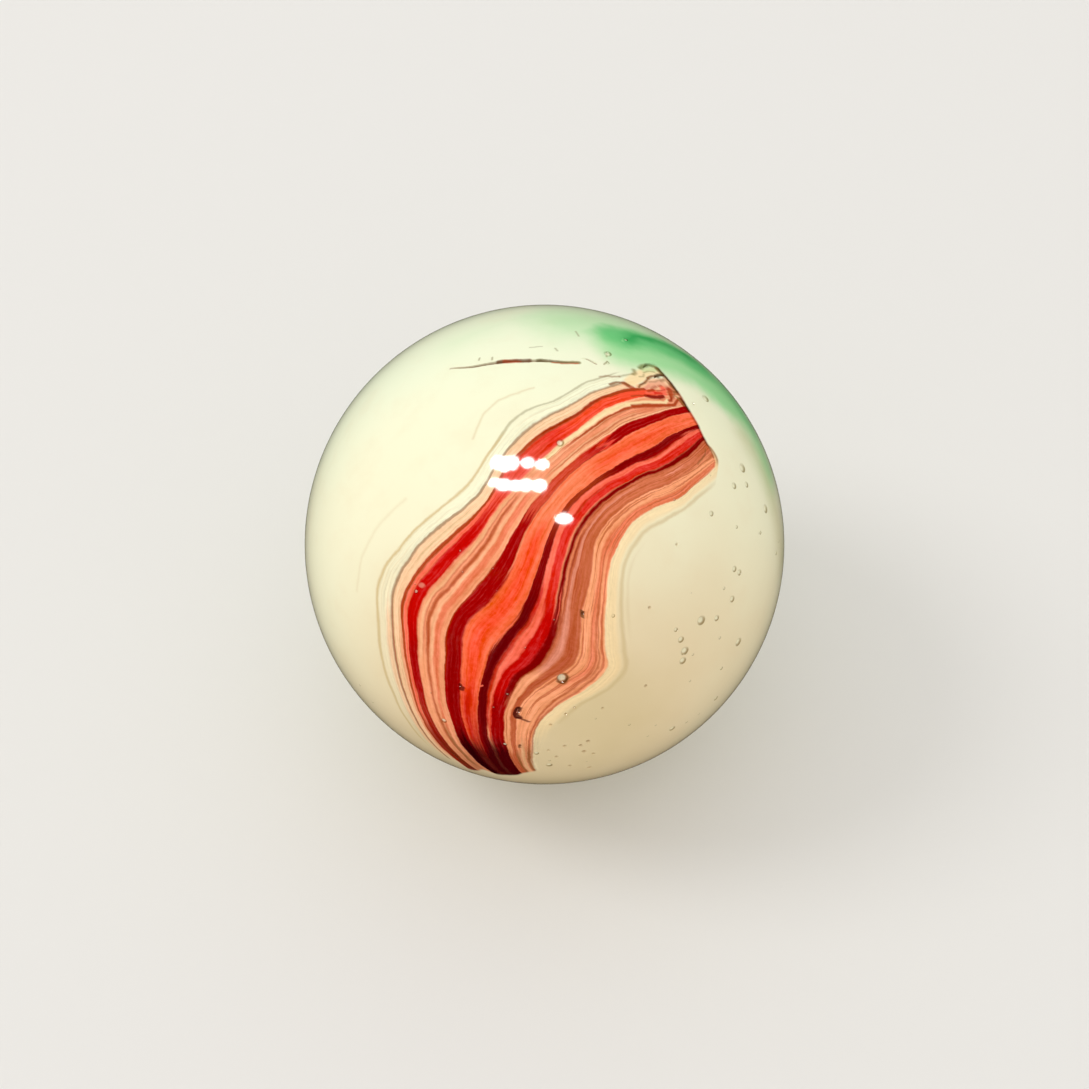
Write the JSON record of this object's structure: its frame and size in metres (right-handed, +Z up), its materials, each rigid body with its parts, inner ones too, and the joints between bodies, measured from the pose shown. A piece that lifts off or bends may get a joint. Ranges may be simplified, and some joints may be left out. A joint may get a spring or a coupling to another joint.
{
  "type": "glass marble",
  "caption": "Solid ball of opaque glass with a swirled ribbon of strands in its skin, a green patch, a cold crease and small open pits.",
  "frame": {"origin": "centre of the ball", "axes": "+Z up as it lies; +X and +Y level. The middle of the ribbon faces up and towards -Y, and its green end towards +X and +Y"},
  "size_m": [0.016, 0.016, 0.016],
  "materials": {
    "swirled_glass": "opaque cream glass, fire polished, with red, orange and maroon strands and a green patch in its skin"
  },
  "bodies": {
    "root": {"glass_ball": "swirled_glass"}
  },
  "joints": []
}
